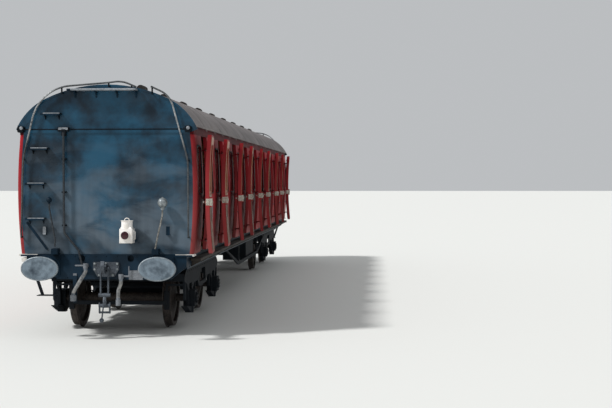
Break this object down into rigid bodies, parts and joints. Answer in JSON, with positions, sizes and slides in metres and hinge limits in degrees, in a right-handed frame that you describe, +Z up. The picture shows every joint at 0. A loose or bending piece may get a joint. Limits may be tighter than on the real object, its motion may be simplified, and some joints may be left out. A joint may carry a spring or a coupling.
{
  "type": "passenger coach",
  "caption": "Compartment railway coach on two four-wheel bogies, with arched roof, curved sides, hinged side doors, oval buffers and a plain end with steps and handrails.",
  "frame": {"origin": "on the centre line, midway along the coach, at the height of the lowest point of the wheel flanges", "axes": "+Y along the coach, away from the end with the tail lamp; +X towards the platform side, whose doors stand open; +Z up"},
  "size_m": [3.0556, 18.57, 3.8836],
  "materials": {
    "black_metal": "satin black enamel, dusty",
    "blue_black_paint": "gloss blue-black enamel with dust",
    "crimson_paint": "gloss crimson enamel",
    "cream_paint": "chipped cream enamel",
    "roof_paint": "matt weathered grey",
    "worn_steel": "worn and greasy",
    "wheel_steel": "rusty with bright treads",
    "dark_wood": "weathered",
    "floor_boards": "worn lining",
    "varnished_wood": "varnished",
    "moquette": "cut pile",
    "glass": "clear",
    "rubber": "grey, perished"
  },
  "bodies": {
    "body": {"alarm_gear": "black_metal", "battery_boxes": "black_metal", "brake_pipes": "black_metal", "buffer_cases": "black_metal", "buffer_heads": "worn_steel", "cantrails": "crimson_paint", "draw_gear": "black_metal", "end_fittings": "black_metal", "end_handrails": "black_metal", "end_steps": "black_metal", "end_walls": "blue_black_paint", "floor": "floor_boards", "footboards": "dark_wood", "generator": "black_metal", "grab_handles": "worn_steel", "hoses": "rubber", "luggage_racks": "varnished_wood", "partitions": "varnished_wood", "quarterlight_glass": "glass", "roof": "roof_paint", "roof_footboards": "worn_steel", "roof_vents": "roof_paint", "seat_backs": "moquette", "seat_bases": "varnished_wood", "seat_cushions": "moquette", "side_panels_left": "crimson_paint", "side_panels_right": "crimson_paint", "tail_lamp": "cream_paint", "truss_bars": "black_metal", "underframe": "black_metal", "vacuum_cylinders": "black_metal"},
    "right_door_1": {"door_right_1": "crimson_paint"},
    "right_door_2": {"door_right_2": "crimson_paint"},
    "right_door_3": {"door_right_3": "crimson_paint"},
    "right_door_4": {"door_right_4": "crimson_paint"},
    "right_door_5": {"door_right_5": "crimson_paint"},
    "right_door_6": {"door_right_6": "crimson_paint"},
    "right_door_7": {"door_right_7": "crimson_paint"},
    "right_door_8": {"door_right_8": "crimson_paint"},
    "right_door_9": {"door_right_9": "crimson_paint"},
    "left_door_1": {"door_left_1": "crimson_paint"},
    "left_door_2": {"door_left_2": "crimson_paint"},
    "left_door_3": {"door_left_3": "crimson_paint"},
    "left_door_4": {"door_left_4": "crimson_paint"},
    "left_door_5": {"door_left_5": "crimson_paint"},
    "left_door_6": {"door_left_6": "crimson_paint"},
    "left_door_7": {"door_left_7": "crimson_paint"},
    "left_door_8": {"door_left_8": "crimson_paint"},
    "left_door_9": {"door_left_9": "crimson_paint"},
    "bogie_1": {"bogie_frame_1": "black_metal", "axleboxes_springs_1": "black_metal", "brake_gear_1": "black_metal"},
    "wheelset_body_1": {"wheelset_1": "wheel_steel"},
    "wheelset_body_2": {"wheelset_2": "wheel_steel"},
    "bogie_2": {"bogie_frame_2": "black_metal", "axleboxes_springs_2": "black_metal", "brake_gear_2": "black_metal"},
    "wheelset_body_3": {"wheelset_3": "wheel_steel"},
    "wheelset_body_4": {"wheelset_4": "wheel_steel"}
  },
  "joints": [
    {"name": "right_door_1_hinge", "type": "hinge", "parent": "body", "child": "right_door_1", "pos_m": [1.404, -8.04528, 2.112], "axis": [0, 0, -1], "range_deg": [-175, 1]},
    {"name": "right_door_2_hinge", "type": "hinge", "parent": "body", "child": "right_door_2", "pos_m": [1.404, -6.11083, 2.112], "axis": [0, 0, -1], "range_deg": [-176, 1]},
    {"name": "right_door_3_hinge", "type": "hinge", "parent": "body", "child": "right_door_3", "pos_m": [1.404, -4.17639, 2.112], "axis": [0, 0, -1], "range_deg": [-172, 1]},
    {"name": "right_door_4_hinge", "type": "hinge", "parent": "body", "child": "right_door_4", "pos_m": [1.404, -2.24194, 2.112], "axis": [0, 0, -1], "range_deg": [-175, 1]},
    {"name": "right_door_5_hinge", "type": "hinge", "parent": "body", "child": "right_door_5", "pos_m": [1.404, -0.3075, 2.112], "axis": [0, 0, -1], "range_deg": [-174, 1]},
    {"name": "right_door_6_hinge", "type": "hinge", "parent": "body", "child": "right_door_6", "pos_m": [1.404, 1.62694, 2.112], "axis": [0, 0, -1], "range_deg": [-176, 1]},
    {"name": "right_door_7_hinge", "type": "hinge", "parent": "body", "child": "right_door_7", "pos_m": [1.404, 3.56139, 2.112], "axis": [0, 0, -1], "range_deg": [-173, 1]},
    {"name": "right_door_8_hinge", "type": "hinge", "parent": "body", "child": "right_door_8", "pos_m": [1.404, 5.49583, 2.112], "axis": [0, 0, -1], "range_deg": [-175, 1]},
    {"name": "right_door_9_hinge", "type": "hinge", "parent": "body", "child": "right_door_9", "pos_m": [1.404, 7.43028, 2.112], "axis": [0, 0, -1], "range_deg": [-174, 1]},
    {"name": "left_door_1_hinge", "type": "hinge", "parent": "body", "child": "left_door_1", "pos_m": [-1.404, -7.43028, 2.112], "axis": [0, 0, -1], "range_deg": [0, 176]},
    {"name": "left_door_2_hinge", "type": "hinge", "parent": "body", "child": "left_door_2", "pos_m": [-1.404, -5.49583, 2.112], "axis": [0, 0, -1], "range_deg": [0, 176]},
    {"name": "left_door_3_hinge", "type": "hinge", "parent": "body", "child": "left_door_3", "pos_m": [-1.404, -3.56139, 2.112], "axis": [0, 0, -1], "range_deg": [0, 176]},
    {"name": "left_door_4_hinge", "type": "hinge", "parent": "body", "child": "left_door_4", "pos_m": [-1.404, -1.62694, 2.112], "axis": [0, 0, -1], "range_deg": [0, 176]},
    {"name": "left_door_5_hinge", "type": "hinge", "parent": "body", "child": "left_door_5", "pos_m": [-1.404, 0.3075, 2.112], "axis": [0, 0, -1], "range_deg": [0, 176]},
    {"name": "left_door_6_hinge", "type": "hinge", "parent": "body", "child": "left_door_6", "pos_m": [-1.404, 2.24194, 2.112], "axis": [0, 0, -1], "range_deg": [0, 176]},
    {"name": "left_door_7_hinge", "type": "hinge", "parent": "body", "child": "left_door_7", "pos_m": [-1.404, 4.17639, 2.112], "axis": [0, 0, -1], "range_deg": [0, 176]},
    {"name": "left_door_8_hinge", "type": "hinge", "parent": "body", "child": "left_door_8", "pos_m": [-1.404, 6.11083, 2.112], "axis": [0, 0, -1], "range_deg": [0, 176]},
    {"name": "left_door_9_hinge", "type": "hinge", "parent": "body", "child": "left_door_9", "pos_m": [-1.404, 8.04528, 2.112], "axis": [0, 0, -1], "range_deg": [0, 176]},
    {"name": "bogie_1_swivel", "type": "hinge", "parent": "body", "child": "bogie_1", "pos_m": [0, -6.096, 0.992], "axis": [0, 0, 1], "range_deg": [-4, 4]},
    {"name": "wheelset_1_axle", "type": "hinge", "parent": "bogie_1", "child": "wheelset_body_1", "pos_m": [0, -7.3915, 0.485], "axis": [1, 0, 0], "continuous": true},
    {"name": "wheelset_2_axle", "type": "hinge", "parent": "bogie_1", "child": "wheelset_body_2", "pos_m": [0, -4.8005, 0.485], "axis": [1, 0, 0], "continuous": true},
    {"name": "bogie_2_swivel", "type": "hinge", "parent": "body", "child": "bogie_2", "pos_m": [0, 6.096, 0.992], "axis": [0, 0, 1], "range_deg": [-4, 4]},
    {"name": "wheelset_3_axle", "type": "hinge", "parent": "bogie_2", "child": "wheelset_body_3", "pos_m": [0, 4.8005, 0.485], "axis": [1, 0, 0], "continuous": true},
    {"name": "wheelset_4_axle", "type": "hinge", "parent": "bogie_2", "child": "wheelset_body_4", "pos_m": [0, 7.3915, 0.485], "axis": [1, 0, 0], "continuous": true}
  ]
}
